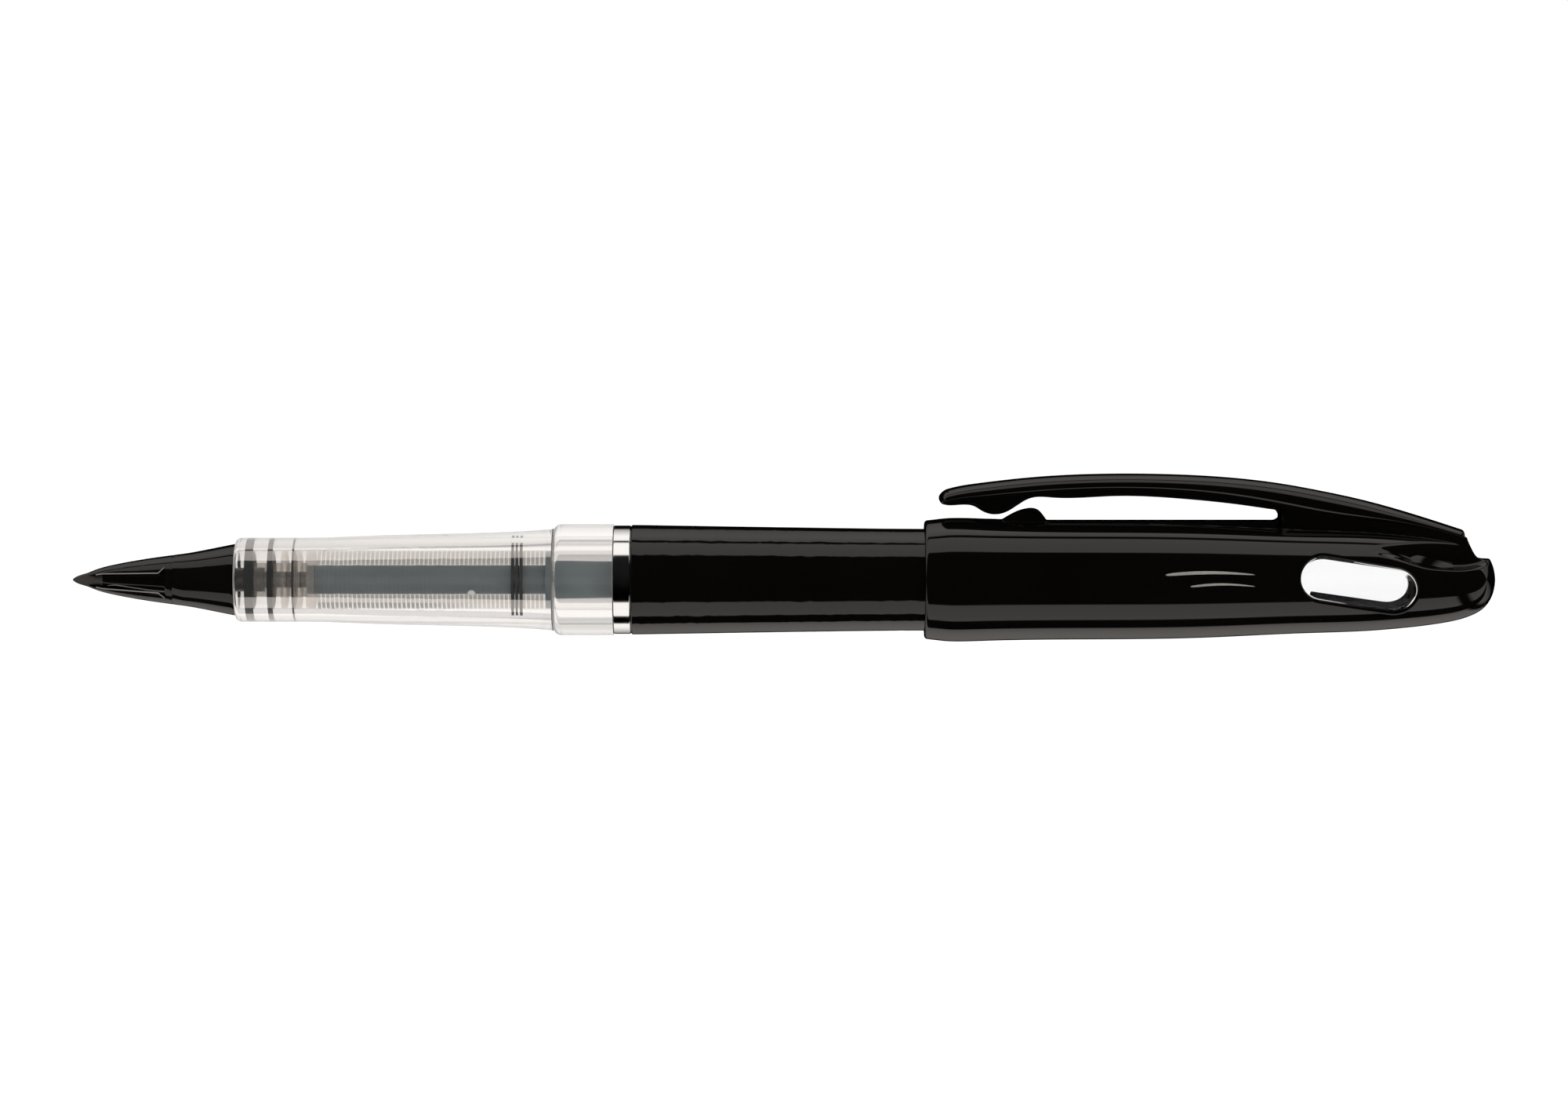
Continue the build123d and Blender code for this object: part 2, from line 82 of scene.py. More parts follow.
class Graph:
    """Builds a node tree with short calls: graph.add(type, inputs, properties) returns the node."""

    def __init__(self, tree):
        self.tree = tree
        tree.nodes.clear()

    def add(self, kind, inputs=None, **properties):
        node = self.tree.nodes.new("ShaderNode" + kind)
        for name, value in properties.items():
            setattr(node, name, value)
        for name, value in (inputs or {}).items():
            self.set(node, name, value)
        return node

    def set(self, node, name, value):
        socket = node.inputs[name]
        if isinstance(value, bpy.types.Node):
            value = value.outputs[0]
        if isinstance(value, bpy.types.NodeSocket):
            self.tree.links.new(value, socket)
        else:
            socket.default_value = value

    def math(self, operation, first, second=0.0, third=0.0):
        return self.add("Math", {0: first, 1: second, 2: third}, operation=operation)

    def span(self, value, low, high, start, end):
        """Carries a value from the range low to high over to the range start to end."""
        places = {"Value": value, "From Min": low, "From Max": high, "To Min": start, "To Max": end}
        return self.add("MapRange", places)

    def ramp(self, factor, stops):
        node = self.add("ValToRGB", {"Fac": factor})
        elements = node.color_ramp.elements
        while len(elements) > 1:
            elements.remove(elements[-1])
        for index, (position, level) in enumerate(stops):
            element = elements[0] if index == 0 else elements.new(position)
            element.position = position
            element.color = (level, level, level, 1)
        return node

    def mix(self, factor, first, second):
        node = self.add("Mix", {0: factor}, data_type="RGBA")
        self.set(node, 6, first)
        self.set(node, 7, second)
        return node.outputs[2]

    def split(self, vector):
        return self.add("SeparateXYZ", {0: vector}).outputs

    def noise(self, scale, detail=4.0, roughness=0.5, stretch=(1, 1, 1)):
        place = self.add("TexCoord").outputs["Object"]
        stretched = self.add("Mapping", {"Vector": place, "Scale": stretch})
        inputs = {"Vector": stretched, "Scale": scale, "Detail": detail, "Roughness": roughness}
        return self.add("TexNoise", inputs).outputs["Fac"]

    def bump(self, height, distance):
        inputs = {"Height": height, "Distance": distance, "Strength": 1.0}
        return self.add("Bump", inputs).outputs["Normal"]


def material(name):
    made = bpy.data.materials.new(name)
    made.use_nodes = True
    return made, Graph(made.node_tree)


# ---- Materials ----------------------------------------------------------------------------------

SPREAD = (0.3, 0.7)  # the part of a noise's range that a finish varies over


def gloss_black():
    """Polished black moulding with faint flow marks along its length."""
    made, graph = material("gloss_black")
    cloud = graph.noise(90, 3)
    flow = graph.noise(2500, 2, 0.6, (0.06, 1, 1))
    shader = graph.add(
        "BsdfPrincipled",
        {
            "Base Color": graph.mix(cloud, (0.0012, 0.0010, 0.0009, 1), (0.0022, 0.0019, 0.0017, 1)),
            "Roughness": graph.span(cloud, *SPREAD, 0.025, 0.06),
            "IOR": 1.5,
            "Normal": graph.bump(flow, 0.0000004),
        },
    )
    graph.add("OutputMaterial", {"Surface": shader})
    return made


def satin_black():
    """The nib holder: black moulding a little less polished, with a fine grain."""
    made, graph = material("satin_black")
    grain = graph.noise(5000, 3)
    cloud = graph.noise(400, 3, 0.5, (0.3, 1, 1))
    shader = graph.add(
        "BsdfPrincipled",
        {
            "Base Color": graph.mix(cloud, (0.0014, 0.0012, 0.0010, 1), (0.0034, 0.0029, 0.0025, 1)),
            "Roughness": graph.span(cloud, *SPREAD, 0.04, 0.08),
            "IOR": 1.46,
            "Normal": graph.bump(grain, 0.0000005),
        },
    )
    graph.add("OutputMaterial", {"Surface": shader})
    return made


def clear(name, tint, shine, index=1.49, haze=0.0):
    """Clear moulded plastic, slightly wavy.

    Shine is the extra share of light that its polished skin throws back, and haze whitens it where it is
    seen at a glancing angle. Both count only for what the camera sees directly.
    """
    made, graph = material(name)
    ripple = graph.noise(420, 2, 0.5, (0.25, 1, 1))
    normal = graph.bump(ripple, 0.0000002)
    cloud = graph.noise(150, 2)
    colour = graph.mix(cloud, (*[0.99 * c for c in tint], 1), (*tint, 1))
    glass = graph.add("BsdfGlass", {"Color": colour, "IOR": index, "Roughness": 0.0, "Normal": normal})
    gloss = graph.add("BsdfAnisotropic", {"Color": (1, 0.985, 0.97, 1), "Roughness": 0.05})
    milk = graph.add("BsdfDiffuse", {"Color": (0.80, 0.78, 0.76, 1)})
    facing = graph.math("SUBTRACT", 1.0, graph.add("NewGeometry").outputs["Backfacing"])
    seen = graph.math("MULTIPLY", facing, graph.add("LightPath").outputs["Is Camera Ray"])
    glancing = graph.math("POWER", graph.add("LayerWeight", {"Blend": 0.5}).outputs["Facing"], 2.5)
    edge = graph.math("MULTIPLY", graph.math("MULTIPLY", glancing, haze), seen)
    mixed = graph.add("MixShader", {0: graph.math("MULTIPLY", seen, shine), 1: glass, 2: gloss})
    mixed = graph.add("MixShader", {0: edge, 1: mixed, 2: milk})
    graph.add("OutputMaterial", {"Surface": mixed})
    return made


def see_through(name, low, high, body, share, rough=0.3):
    """Thin translucent plastic: a tinted see-through part under a share of solid colour."""
    made, graph = material(name)
    cloud = graph.noise(600, 3)
    view = graph.add("BsdfTransparent", {"Color": graph.mix(cloud, (*low, 1), (*high, 1))})
    solid = graph.add(
        "BsdfPrincipled",
        {"Base Color": graph.mix(cloud, (*[0.9 * c for c in body], 1), (*body, 1)), "Roughness": rough},
    )
    amount = graph.span(cloud, *SPREAD, 0.92 * share, 1.08 * share)
    mixed = graph.add("MixShader", {0: amount, 1: view, 2: solid})
    graph.add("OutputMaterial", {"Surface": mixed})
    return made


CORE_VIEW = (0.00155, 0.0018)  # the fins come in between these distances of the line of sight from the axis
OVER_CORE = 0.12  # how strongly they show in front of and behind the core
STAIN_BELOW = (-0.00206, -0.00214)  # the ink stain on them comes in between these heights
STAIN_AHEAD = (-0.012, -0.018)  # and between these places along the pen


def fin_rim():
    """The fins' edges: hazy see-through plastic, stained by ink along the bottom near the nib."""
    made, graph = material("fin_rim")
    cloud = graph.noise(900, 3)
    x, y, z = graph.split(graph.add("TexCoord").outputs["Object"])
    below = graph.span(z, *STAIN_BELOW, 0.0, 1.0)
    stain = graph.math("MULTIPLY", below, graph.span(x, *STAIN_AHEAD, 0.0, 1.0))
    tint = graph.mix(cloud, (0.50, 0.485, 0.46, 1), (0.60, 0.585, 0.56, 1))
    tint = graph.mix(stain, tint, (0.12, 0.13, 0.14, 1))
    body = graph.mix(stain, (0.62, 0.60, 0.57, 1), (0.06, 0.07, 0.075, 1))
    here = graph.add("NewGeometry").outputs
    place, ray = graph.split(here["Position"]), graph.split(here["Incoming"])
    under = graph.math("MULTIPLY", graph.math("MULTIPLY", place[2], ray[1]), -1)
    miss = graph.math("ABSOLUTE", graph.math("MULTIPLY_ADD", place[1], ray[2], under))
    facing = graph.math("SUBTRACT", 1.0, here["Backfacing"])
    seen = graph.math("MULTIPLY", facing, graph.span(miss, *CORE_VIEW, OVER_CORE, 1.0))
    share = graph.math("MULTIPLY", graph.math("MULTIPLY_ADD", stain, 0.6, 0.10), seen)
    view = graph.add("BsdfTransparent", {"Color": graph.mix(seen, (1, 1, 1, 1), tint)})
    solid = graph.add("BsdfPrincipled", {"Base Color": body, "Roughness": 0.4})
    mixed = graph.add("MixShader", {0: share, 1: view, 2: solid})
    graph.add("OutputMaterial", {"Surface": mixed})
    return made


def solid_colour(name, dark, light, rough, scale=900, height=0.000004, metallic=0.0):
    """An opaque finish with cloudy colour and a fine uneven surface."""
    made, graph = material(name)
    cloud = graph.noise(scale, 4)
    shader = graph.add(
        "BsdfPrincipled",
        {
            "Base Color": graph.mix(cloud, (*dark, 1), (*light, 1)),
            "Roughness": graph.span(cloud, *SPREAD, 0.85 * rough, 1.15 * rough),
            "Metallic": metallic,
            "Normal": graph.bump(cloud, height),
        },
    )
    graph.add("OutputMaterial", {"Surface": shader})
    return made


def nib_fibre():
    """Bonded writing fibres drawn out along the nib and soaked with ink."""
    made, graph = material("nib_fibre")
    strands = graph.noise(2600, 5, 0.65, (0.12, 1, 1))
    specks = graph.noise(6000, 4, 0.7)
    blend = graph.math("MULTIPLY_ADD", strands, 0.6, graph.math("MULTIPLY", specks, 0.4))
    shader = graph.add(
        "BsdfPrincipled",
        {
            "Base Color": graph.mix(blend, (0.006, 0.0045, 0.004, 1), (0.062, 0.050, 0.043, 1)),
            "Roughness": graph.span(specks, *SPREAD, 0.35, 0.7),
            "Normal": graph.bump(blend, 0.00002),
        },
    )
    graph.add("OutputMaterial", {"Surface": shader})
    return made


FINISHES = {
    "gloss_black": gloss_black(),
    "satin_black": satin_black(),
    "nib_fibre": nib_fibre(),
    "chrome": solid_colour("chrome", (0.94, 0.96, 0.98), (0.97, 0.99, 1.00), 0.10, 300, 0.0000003, 1.0),
    "clear": clear("clear", (0.955, 0.945, 0.935), 0.22, haze=0.85),
    "window_clear": clear("window_clear", (1.0, 1.0, 1.0), 0.0, index=1.2),
    "inner_clear": see_through("inner_clear", (0.98, 0.98, 0.98), (1, 1, 1), (0.5, 0.5, 0.5), 0.01, 0.1),
    "milky": see_through("milky", (0.84, 0.81, 0.78), (0.90, 0.88, 0.85), (0.62, 0.58, 0.54), 0.25),
    "fin_rim": fin_rim(),
    "fin_side": see_through("fin_side", (0.97, 0.97, 0.97), (1.0, 1.0, 1.0), (0.7, 0.7, 0.7), 0.02),
    "slate": solid_colour("slate", (0.135, 0.170, 0.185), (0.185, 0.225, 0.240), 0.5, 700),
    # painted highlight: light grey for the cords along the nib holder's wing rims and on its core
    "worn_edge": solid_colour("worn_edge", (0.12, 0.112, 0.105), (0.20, 0.188, 0.175), 0.35, 2500),
    # painted highlight: near-white for the air bubble's bright reflection
    "bubble": solid_colour("bubble", (0.93, 0.94, 0.93), (0.99, 0.99, 0.99), 0.4, 2500),
    # painted shade: dark grey for the dark line in the grip's glass at the collar
    "seam": solid_colour("seam", (0.08, 0.08, 0.08), (0.14, 0.14, 0.14), 0.5),
    "rubber": solid_colour("rubber", (0.012, 0.012, 0.012), (0.03, 0.03, 0.03), 0.6, 1500),
    "ink": solid_colour("ink", (0.015, 0.017, 0.018), (0.04, 0.044, 0.046), 0.35, 1500),
    "silver_print": solid_colour(
        "silver_print", (0.42, 0.40, 0.37), (0.62, 0.59, 0.55), 0.4, 2500, 0.000002, 0.6
    ),
}


# ---- Stage, light and camera --------------------------------------------------------------------

# Each panel's start and end, in degrees above the horizon from the camera's side, and its light at each.
PANELS = [
    (-157, 0.20, -104, 1.20),
    (-80, 1.45, -46, 1.60),
    (58, 1.60, 89, 1.40),
    (96, 1.30, 141, 0.32),
]
PANEL_SOFT = 1.2  # half the width of a panel's soft edge, in degrees
PANEL_TINT = (1.0, 0.94, 0.89, 1)
# Towards the pen's tail the panels fade out over the first pair of directions and back in over the second.
PANEL_FADE = (0.50, 0.43)
PANEL_RETURN = (0.60, 0.70)
PANEL_FAR = 0.8  # their light beyond the gap
# What clear plastic shows, by degrees above the horizon from the camera's side.
THROUGH = [
    (-180, 1.10),
    (-160, 0.90),
    (-150, 1.15),
    (-110, 1.15),
    (-100, 0.55),
    (-60, 0.7),
    (-14, 0.60),
    (-10, 1.05),
    (10, 1.05),
    (14, 0.60),
    (60, 0.7),
    (92, 0.55),
    (100, 1.1),
    (125, 1.1),
    (135, 0.62),
    (158, 0.80),
    (180, 1.10),
]
FILL = 1.1  # what matt surfaces see
INNER_FILL = 1.7  # what matt surfaces inside clear plastic see


def turns(degrees):
    return (degrees + 180) / 360


def panel_light(graph, turn, x):
    """The panels as a colour: bands round the pen's axis, with a gap towards its tail."""
    stops = [(0.0, 0.0)]
    for low, first, high, last in PANELS:
        stops += [(turns(low - PANEL_SOFT), 0.0), (turns(low + PANEL_SOFT), first)]
        stops += [(turns(high - PANEL_SOFT), last), (turns(high + PANEL_SOFT), 0.0)]
    near = graph.span(x, *PANEL_FADE, 0.0, 1.0)
    far = graph.span(x, *PANEL_RETURN, 0.0, PANEL_FAR)
    level = graph.math("MULTIPLY", graph.ramp(turn, stops), graph.math("ADD", near, far))
    return graph.mix(level, (0, 0, 0, 1), PANEL_TINT)


def world():
    """Long soft panels that only reflections see, a back light for clear plastic, and white for the rest."""
    scene_world = bpy.data.worlds.new("studio")
    bpy.context.scene.world = scene_world
    scene_world.use_nodes = True
    graph = Graph(scene_world.node_tree)
    x, y, z = graph.split(graph.add("TexCoord").outputs["Generated"])
    angle = graph.math("ARCTAN2", z, graph.math("MULTIPLY", y, -1.0))
    turn = graph.math("MULTIPLY_ADD", angle, 1 / (2 * math.pi), 0.5)
    through = graph.ramp(turn, [(turns(degrees), level) for degrees, level in THROUGH])
    path = graph.add("LightPath").outputs
    inside = graph.math("GREATER_THAN", path["Diffuse Depth"], 0.5)
    through = graph.mix(inside, through, (INNER_FILL, INNER_FILL, INNER_FILL, 1))
    light = graph.mix(path["Is Diffuse Ray"], (1, 1, 1, 1), (FILL, FILL, FILL, 1))
    light = graph.mix(path["Is Glossy Ray"], light, panel_light(graph, turn, x))
    light = graph.mix(path["Is Transmission Ray"], light, through)
    back = graph.add("Background", {"Color": light, "Strength": 1.0})
    graph.add("OutputWorld", {"Surface": back})


def floor_material():
    made, graph = material("floor_white")
    cloud = graph.noise(3, 3)
    tone = graph.mix(cloud, (0.95, 0.95, 0.95, 1), (0.97, 0.97, 0.97, 1))
    graph.add("OutputMaterial", {"Surface": graph.add("BsdfDiffuse", {"Color": tone})})
    return made


def hide_from_clear_and_gloss(item):
    item.visible_glossy = False
    item.visible_transmission = False


def floor():
    """A wide pale floor, a quarter of the pen's length below it."""
    low, high = cad_box
    length = high.x - low.x
    bpy.ops.mesh.primitive_plane_add(size=60 * length, location=(0, 0, low.z - 0.25 * length))
    made = bpy.context.object
    made.name = "floor"
    made.data.materials.append(floor_material())
    hide_from_clear_and_gloss(made)


def overhead():
    """A large soft lamp above the pen's middle."""
    low, high = cad_box
    length = high.x - low.x
    lamp = bpy.data.lights.new("overhead", "AREA")
    lamp.shape = "RECTANGLE"
    lamp.size, lamp.size_y = 5 * length, 3 * length
    lamp.energy = 1.2
    light = bpy.data.objects.new("overhead", lamp)
    light.location = (low.x + length / 2, 0, 3.2 * length)
    hide_from_clear_and_gloss(light)
    bpy.context.scene.collection.objects.link(light)


CAMERA_LENS, CAMERA_SENSOR = 130, 36
CAMERA_TILT = math.radians(3.5)
CAMERA_MARGIN = 1.102  # width of the picture over the pen's length
CAMERA_RAISE = 0.00034


def camera():
    low, high = cad_box
    target = (low + high) / 2 + Vector((0, 0, CAMERA_RAISE))
    distance = CAMERA_MARGIN * (high.x - low.x) * CAMERA_LENS / CAMERA_SENSOR
    data = bpy.data.cameras.new("camera")
    data.lens, data.sensor_width = CAMERA_LENS, CAMERA_SENSOR
    data.clip_start, data.clip_end = 0.01, 20
    view = bpy.data.objects.new("camera", data)
    view.location = target + distance * Vector((0, -math.cos(CAMERA_TILT), math.sin(CAMERA_TILT)))
    view.rotation_euler = (math.pi / 2 - CAMERA_TILT, 0, 0)
    bpy.context.scene.collection.objects.link(view)
    bpy.context.scene.camera = view


# ---- Mesh helpers: every length below is in millimetres -----------------------------------------


def spline(knots, values, at):
    """A natural cubic through values at knots, read at the given places."""
    knots, at = np.asarray(knots, float), np.asarray(at, float)
    values = np.asarray(values, float).reshape(len(knots), -1)
    gap = np.diff(knots)
    system = np.eye(len(knots))
    right = np.zeros(values.shape)
    for i in range(1, len(knots) - 1):
        system[i, i - 1 : i + 2] = gap[i - 1], 2 * (gap[i - 1] + gap[i]), gap[i]
        slope = (values[i + 1] - values[i]) / gap[i] - (values[i] - values[i - 1]) / gap[i - 1]
        right[i] = 6 * slope
    bend = np.linalg.solve(system, right)
    place = np.clip(np.searchsorted(knots, at) - 1, 0, len(knots) - 2)
    step = gap[place][:, None]
    before = (knots[place + 1] - at)[:, None]
    after = (at - knots[place])[:, None]
    low, high = values[place], values[place + 1]
    curve = (bend[place] * before**3 + bend[place + 1] * after**3) / (6 * step)
    curve += (low / step - bend[place] * step / 6) * before
    curve += (high / step - bend[place + 1] * step / 6) * after
    return curve if curve.shape[1] > 1 else curve[:, 0]


def along(table, x):
    """A smooth curve through a table of (x, value), read at x and level beyond the table's ends."""
    knots, values = np.asarray(table, float).T
    return spline(knots, values, np.clip(x, knots[0], knots[-1]))


def path(points, count):
    """Evenly spaced points along a smooth curve through the given ones."""
    points = np.asarray(points, float)
    lengths = np.concatenate([[0], np.cumsum(np.linalg.norm(np.diff(points, axis=0), axis=1))])
    return spline(lengths, points, np.linspace(0, lengths[-1], count))


def places(steps):
    """Places from a list of (start, end, count), each end left to the next start."""
    return np.concatenate([np.linspace(start, end, count, endpoint=False) for start, end, count in steps])


def smooth_max(first, second, width):
    near = np.maximum(width - np.abs(first - second), 0) / width
    return np.maximum(first, second) + near * near * width / 4


def smooth_min(first, second, width):
    return -smooth_max(-first, -second, width)


def piece(name, points, faces, finish, body=None, sharp=30):
    """A smooth-shaded mesh object with crisp edges where faces meet above the given angle."""
    mesh = bpy.data.meshes.new(name)
    mesh.from_pydata((np.asarray(points, float) * MM).tolist(), [], faces)
    mesh.materials.append(FINISHES[finish])
    mesh.polygons.foreach_set("use_smooth", [True] * len(mesh.polygons))
    mesh.set_sharp_from_angle(angle=math.radians(sharp))
    made = bpy.data.objects.new(name, mesh)
    bpy.context.scene.collection.objects.link(made)
    if body:
        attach(made, body)
    return made


def ring_faces(rows, columns, close_rows=False):
    """Quads between rings of points; the rings are closed, and so is the stack if asked."""
    faces = []
    for row in range(rows if close_rows else rows - 1):
        here, there = row * columns, (row + 1) % rows * columns
        for column in range(columns):
            after = (column + 1) % columns
            faces.append((here + column, here + after, there + after, there + column))
    return faces


def flipped(faces):
    return [face[::-1] for face in faces]


def fan(first, columns, pole, flip=False):
    """Triangles from a ring to a pole."""
    faces = []
    for column in range(columns):
        here, after = first + column, first + (column + 1) % columns
        faces.append((pole, after, here) if flip else (pole, here, after))
    return faces


def end_faces(rows, columns):
    """One flat face over the first ring and one over the last."""
    first_ring = tuple(range(columns))[::-1]
    last_ring = tuple(range((rows - 1) * columns, rows * columns))
    return [first_ring, last_ring]


def joined(parts):
    """The points and faces of several parts as one."""
    points, faces, first = [], [], 0
    for more, more_faces in parts:
        points.append(more)
        faces += [tuple(first + index for index in face) for face in more_faces]
        first += len(more)
    return np.concatenate(points), faces


def turned(outline, segments):
    """Points in rings for an outline of (x, radius) turned about the X axis."""
    around = np.linspace(0, 2 * math.pi, segments, endpoint=False)
    x, radius = np.asarray(outline, float).T
    ring = np.stack([np.zeros(segments), np.sin(around), np.cos(around)], axis=1)
    points = radius[:, None, None] * ring[None]
    points[:, :, 0] = x[:, None]
    return points.reshape(-1, 3)


def washers(sections, segments=160):
    """Points and faces of closed rings; each section is a closed outline of (x, radius)."""
    return joined(
        (turned(section, segments), flipped(ring_faces(len(section), segments, True))) for section in sections
    )


def band(start, end, inner, outer, edge=0.03):
    """Closed outline of a flat ring with its outer edges eased."""
    return [
        (start, inner),
        (start, outer - edge),
        (start + edge, outer),
        (end - edge, outer),
        (end, outer - edge),
        (end, inner),
    ]


# ---- Cap ----------------------------------------------------------------------------------------

CAP_LOW, CAP_HIGH = (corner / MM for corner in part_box("cap_shell"))
MOUTH = CAP_LOW.x
NOSE = CAP_HIGH.x
LIP = 0.42
LIP_TURNS = [math.radians(degrees) for degrees in (0, 15, 30, 45, 60, 75)]
CAP_EDGE = [(MOUTH + LIP - LIP * math.cos(a), 6.36 + 0.34 * math.sin(a)) for a in LIP_TURNS]
CAP_SIDE = [
    (MOUTH + LIP, 6.70),
    (39.2, 6.80),
    (40.0, 6.89),
    (41.9, 6.96),
    (44.2, 6.90),
    (52.2, 6.75),
    (64.5, 6.66),
    (70.5, 6.49),
    (80.4, 6.04),
    (87.4, 5.79),
    (91.8, 5.44),
    (96.2, 4.88),
    (99.2, 4.13),
    (100.9, 3.12),
    (101.8, 1.70),
    (NOSE, 0),
]
CAP_INSIDE = [
    (MOUTH, 6.33),
    (MOUTH + 6.1, 6.32),
    (MOUTH + 6.1, 5.78),
    (77.3, 5.78),
    (77.3, 5.3),
    (82.0, 5.3),
    (88.0, 4.95),
    (93.0, 4.45),
    (97.0, 3.2),
    (99.2, 1.6),
]
CAVITY_END = 99.8
# Start, end and number of the rings along the cap, closer together where its form turns.
CAP_RINGS = [
    (MOUTH + LIP, 41, 18),
    (41, 46.3, 12),
    (46.3, 52, 44),
    (52, 77.2, 46),
    (77.2, 77.9, 26),
    (77.9, 86, 30),
    (86, 98.4, 110),
    (98.4, 99.8, 44),
    (99.8, 101.3, 34),
]
NOSE_START, NOSE_RINGS = CAP_RINGS[-1][1], 26
FINE_ARC = 78  # degrees each side of the top with finer columns

# The stop that faces the clip's ball
STOP_HALF, STOP_BLEND = 1.5, 0.2
STOP_TOP = [(46.6, 6.7), (48.2, 7.6), (49.9, 8.02), (51.0, 7.6), (51.7, 6.6)]

# The rib: a low rail under the clip, and the web that carries the clip behind it
RIB_HALF, RIB_BLEND = 2.0, 0.1
RIB_START, RIB_FACE, RIB_END = 51.8, 77.66, 99.9
RAIL_TOP = 6.66
HEEL = 0.5
RIB_PROW = 1.1
PROW_POINT = 0.3  # width of the web's front edge, as a share of the rib's

# The hollows beside the web
HOLLOW_START, HOLLOW_BLEND, FLOOR_BLEND = 85, 0.9, 1.5
HOLLOW_FLOOR = [
    (84, 4.5),
    (88.4, 3.4),
    (90.9, 2.7),
    (93.5, 1.8),
    (96.3, 1.45),
    (99, 1.5),
    (100.5, 1.9),
    (103, 3.2),
]
HOLLOW_SIDE = [
    (84, 6.0),
    (88, 4.7),
    (90.9, 3.9),
    (93.5, 3.2),
    (96.3, 2.55),
    (99, 2.1),
    (103, 1.8),
]

# The scoop behind the clip's rear end
SCOOP_START, SCOOP_BLEND = 98.45, 0.12
SCOOP = [
    (98.50, 5.75),
    (98.62, 5.2),
    (99.07, 3.95),
    (99.60, 2.97),
    (100.1, 2.52),
    (100.66, 2.34),
    (101.6, 2.42),
    (102.3, 2.7),
]

# The clip's slab, which the web meets
SLAB_TOP = [
    (39.5, 9.9),
    (40.3, 10.17),
    (44.05, 10.89),
    (50.4, 11.58),
    (59, 11.95),
    (66.3, 11.86),
    (73.3, 11.42),
    (78.3, 10.79),
    (82.1, 10.10),
    (87.4, 8.95),
    (92.7, 7.47),
    (98.54, 5.60),
]
SLAB_DEPTH = [
    (39.5, 1.5),
    (45, 1.74),
    (60, 1.81),
    (70, 2.05),
    (76, 2.35),
    (80, 2.5),
    (85, 2.4),
    (89, 1.95),
    (93, 1.4),
    (98.54, 1.0),
]
SLAB_CROWN = 0.72  # share of the depth above the widest line


def cap_outline():
    """(x, radius) along the cap from its mouth to its nose."""
    fine = path(CAP_SIDE, 6000)
    x = places(CAP_RINGS)
    radius = np.interp(x, fine[:, 0], fine[:, 1])
    nose = fine[fine[:, 0] > NOSE_START]
    nose = nose[np.linspace(0, len(nose) - 2, NOSE_RINGS).astype(int)]
    return np.concatenate([CAP_EDGE, np.stack([x, radius], axis=1), nose])


def rib_reach(x):
    """The rib's half-width and the height of its top."""
    climb = np.clip((x - RIB_FACE) / HEEL + 1, 0, 1)
    rail = RAIL_TOP + HEEL * (1 - np.sqrt(1 - climb**2))
    rail_half = RIB_HALF * (1 - (1 - PROW_POINT) * climb**4)
    prow = 1 - np.clip((x - RIB_FACE) / RIB_PROW, 0, 1)
    web_half = RIB_HALF * (PROW_POINT + (1 - PROW_POINT) * np.sqrt(1 - prow**2))
    slab = along(SLAB_TOP, x) - SLAB_CROWN * along(SLAB_DEPTH, x)
    return np.where(x < RIB_FACE, rail_half, web_half), np.where(x < RIB_FACE, rail, slab)


def cap_radius(x, radius, around):
    """How far the cap's skin stands from the axis; around is measured from the top."""
    least = 1e-3
    up = np.maximum(np.cos(around), least)
    out = np.maximum(np.abs(np.sin(around)), least)
    above = up > least
    stop = np.minimum(STOP_HALF / out, along(STOP_TOP, x) / up)
    has_stop = above & (x > STOP_TOP[0][0]) & (x < STOP_TOP[-1][0])
    radius = np.where(has_stop, smooth_max(radius, stop, STOP_BLEND), radius)
    hollow = smooth_max(along(HOLLOW_FLOOR, x) / up, along(HOLLOW_SIDE, x) / out, FLOOR_BLEND)
    radius = np.where(above & (x > HOLLOW_START), smooth_min(radius, hollow, HOLLOW_BLEND), radius)
    half, top = rib_reach(x)
    rib = np.minimum(half / out, top / up)
    has_rib = above & (x > RIB_START) & (x < RIB_END)
    radius = np.where(has_rib, smooth_max(radius, rib, RIB_BLEND), radius)
    scooped = smooth_min(radius, along(SCOOP, x) / up, SCOOP_BLEND)
    return np.where(above & (x > SCOOP_START), scooped, radius)


def cap_points(x, radius, around):
    return np.stack([x, -radius * np.sin(around), radius * np.cos(around)], axis=1)


def cap_mesh():
    fine = np.arange(-FINE_ARC, FINE_ARC, 0.45)
    coarse = np.arange(FINE_ARC, 360 - FINE_ARC, 2.0)
    around = np.radians(np.concatenate([fine, coarse]))
    columns = len(around)
    outline, inside = cap_outline(), np.asarray(CAP_INSIDE[::-1])
    x, radius = np.repeat(outline, columns, axis=0).T
    turn = np.tile(around, len(outline))
    outer = cap_points(x, cap_radius(x, radius, turn), turn)
    inner = cap_points(*np.repeat(inside, columns, axis=0).T, np.tile(around, len(inside)))
    points = np.concatenate([inner, outer, [(CAVITY_END, 0, 0), (NOSE, 0, 0)]])
    rows = len(inside) + len(outline)
    cavity_pole, nose_pole = rows * columns, rows * columns + 1
    faces = ring_faces(rows, columns)
    faces += fan(0, columns, cavity_pole, True)
    faces += fan((rows - 1) * columns, columns, nose_pole)
    return points, faces


# Windows
WINDOW_X, WINDOW_Z = 86.3, -0.2
WINDOW_SPACING = 8.12
WINDOW_HALF = 2.52
WINDOW_TILT = math.radians(-9.8)
WINDOW_LIP = 0.32
WINDOW_ROUND, WINDOW_STRAIGHT = 64, 32  # points on each round end and each straight side
PANE_FRONT, PANE_BACK = 0.2, 0.9  # how deep the faces of the clear panes lie
PANE_STEPS = [-2.5, -2.0, -1.2, -0.5]
PANE_EDGE = [(-0.12, 0.2), (-0.04, 0.23), (-0.01, 0.3), (-0.01, 0.9)]
CAP_FINE = path(CAP_SIDE, 3000)


